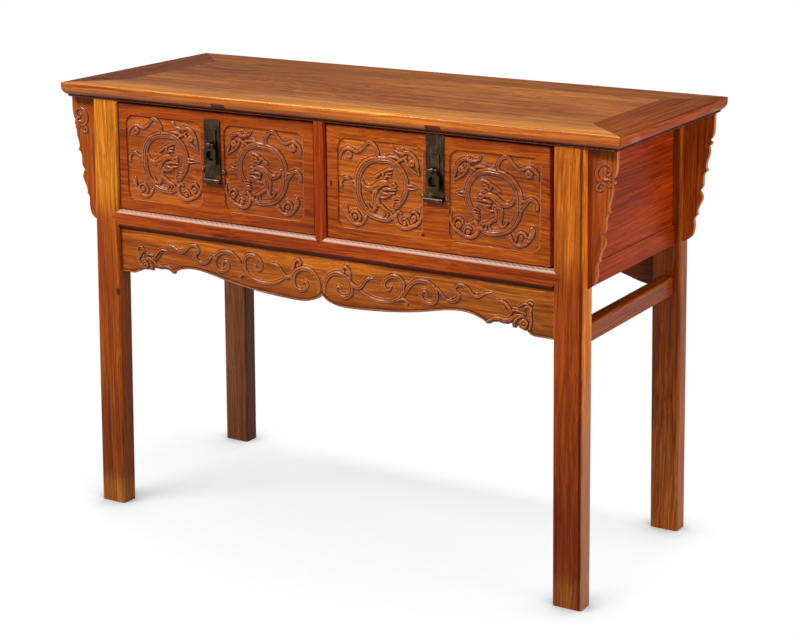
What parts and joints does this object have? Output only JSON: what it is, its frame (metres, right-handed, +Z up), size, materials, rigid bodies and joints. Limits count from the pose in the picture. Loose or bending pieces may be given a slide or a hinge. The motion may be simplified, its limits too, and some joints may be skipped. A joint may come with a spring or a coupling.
{
  "type": "two-drawer coffer",
  "caption": "East Asian hardwood coffer: floating-panel top, splayed legs, carved drawers with sliding bolts and drop pulls, cusped apron and carved spandrels.",
  "frame": {"origin": "on the floor under the middle of the top", "axes": "+Z up, +X to the right along the front, the front faces -Y"},
  "size_m": [1.182, 0.468, 0.85],
  "materials": {
    "rosewood": "waxed satin",
    "inner_wood": "bare, planed",
    "dark_metal": "dark patina"
  },
  "bodies": {
    "carcase": {"back_panel_left": "inner_wood", "back_panel_right": "inner_wood", "centre_post": "rosewood", "centre_runner": "inner_wood", "front_apron": "rosewood", "front_rail": "rosewood", "left_runner": "inner_wood", "left_side_panel": "rosewood", "left_side_rail": "rosewood", "left_stretcher": "rosewood", "leg_front_left": "rosewood", "leg_front_right": "rosewood", "leg_rear_left": "rosewood", "leg_rear_right": "rosewood", "rear_apron": "rosewood", "rear_post": "inner_wood", "rear_rail": "rosewood", "right_runner": "inner_wood", "right_side_panel": "rosewood", "right_side_rail": "rosewood", "right_stretcher": "rosewood", "spandrel_front_left": "rosewood", "spandrel_front_right": "rosewood", "spandrel_rear_left": "rosewood", "spandrel_rear_right": "rosewood", "top_batten_left": "inner_wood", "top_batten_right": "inner_wood", "top_front_rail": "rosewood", "top_left_end": "rosewood", "top_panel": "rosewood", "top_rear_rail": "rosewood", "top_right_end": "rosewood"},
    "left_drawer": {"left_drawer_back": "inner_wood", "left_drawer_bottom": "inner_wood", "left_drawer_front": "rosewood", "left_drawer_inner_side": "inner_wood", "left_drawer_outer_side": "inner_wood", "left_lock_escutcheon": "dark_metal", "left_lock_guide_nails": "dark_metal", "left_lock_staple": "dark_metal"},
    "left_bolt": {"left_lock_bolt": "dark_metal"},
    "left_pull": {"left_lock_drop_pull": "dark_metal"},
    "right_drawer": {"right_drawer_back": "inner_wood", "right_drawer_bottom": "inner_wood", "right_drawer_front": "rosewood", "right_drawer_inner_side": "inner_wood", "right_drawer_outer_side": "inner_wood", "right_lock_escutcheon": "dark_metal", "right_lock_guide_nails": "dark_metal", "right_lock_staple": "dark_metal"},
    "right_bolt": {"right_lock_bolt": "dark_metal"},
    "right_pull": {"right_lock_drop_pull": "dark_metal"}
  },
  "joints": [
    {"name": "left_drawer_slide", "type": "slide", "parent": "carcase", "child": "left_drawer", "axis": [0, -1, 0], "range_m": [0, 0.3]},
    {"name": "left_bolt_slide", "type": "slide", "parent": "left_drawer", "child": "left_bolt", "axis": [0, 0, 1], "range_m": [0, 0.015]},
    {"name": "left_pull_swing", "type": "hinge", "parent": "left_drawer", "child": "left_pull", "pos_m": [-0.2425, -0.2281, 0.7585], "axis": [-1, 0, 0], "range_deg": [0, 110]},
    {"name": "right_drawer_slide", "type": "slide", "parent": "carcase", "child": "right_drawer", "axis": [0, -1, 0], "range_m": [0, 0.3]},
    {"name": "right_bolt_slide", "type": "slide", "parent": "right_drawer", "child": "right_bolt", "axis": [0, 0, 1], "range_m": [-0.015, 0]},
    {"name": "right_pull_swing", "type": "hinge", "parent": "right_drawer", "child": "right_pull", "pos_m": [0.2355, -0.2281, 0.7585], "axis": [-1, 0, 0], "range_deg": [0, 110]}
  ]
}
